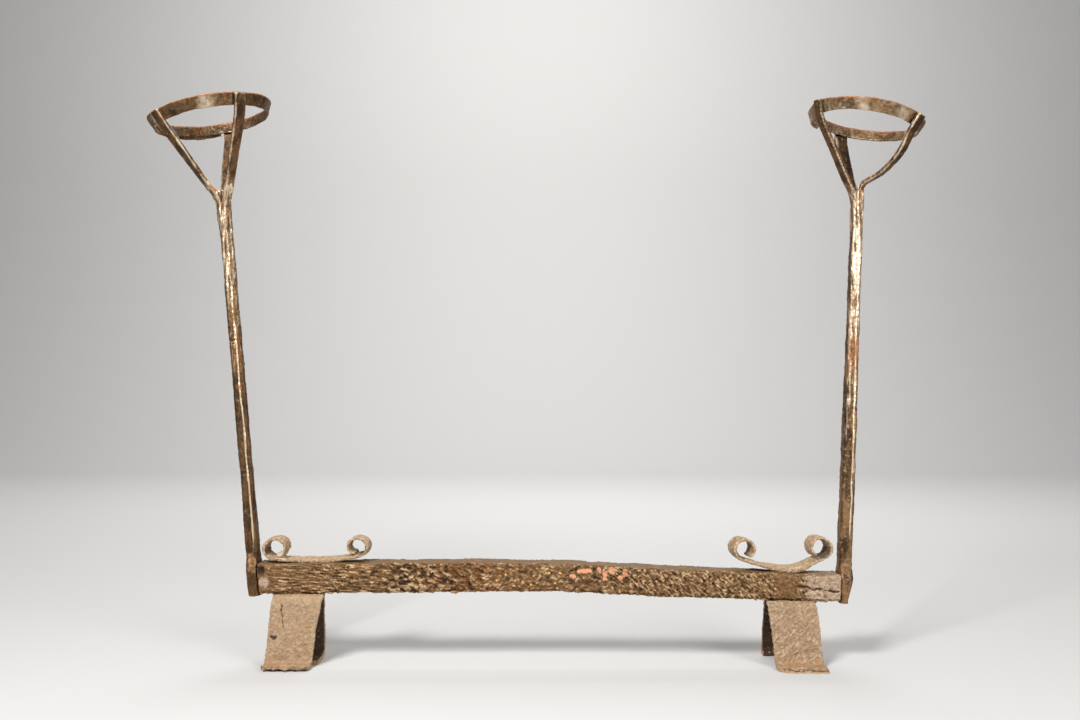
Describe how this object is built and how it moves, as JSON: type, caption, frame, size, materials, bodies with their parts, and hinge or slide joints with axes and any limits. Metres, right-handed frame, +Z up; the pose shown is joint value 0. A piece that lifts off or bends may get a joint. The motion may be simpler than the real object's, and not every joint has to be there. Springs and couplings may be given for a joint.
{
  "type": "double firedog",
  "caption": "Double-ended wrought-iron firedog: a log bar on strap feet, with an upright at each end that forks into prongs holding a ring for a cup, and a scroll beside each upright.",
  "frame": {"origin": "on the floor, under the middle of the whole stand", "axes": "+X along the bar towards the lower end, +Y from the toes of the feet towards their heels, +Z up"},
  "size_m": [0.7838, 0.1216, 0.5729],
  "materials": {
    "pitted_bar": "wrought iron, hammered and deeply pitted, brown patina with a few rust and salmon-coloured patches",
    "rubbed_iron": "wrought iron, brown patina rubbed bright on its ridges, rust along the thin edges",
    "dusty_strap": "wrought-iron strap, matt, covered with pale tan dust and bloom"
  },
  "bodies": {
    "root": {"hearth_bar": "pitted_bar", "left_upright": "rubbed_iron", "left_ring": "rubbed_iron", "left_foot": "dusty_strap", "left_scroll": "dusty_strap", "right_upright": "rubbed_iron", "right_ring": "rubbed_iron", "right_foot": "dusty_strap", "right_scroll": "dusty_strap"}
  },
  "joints": []
}
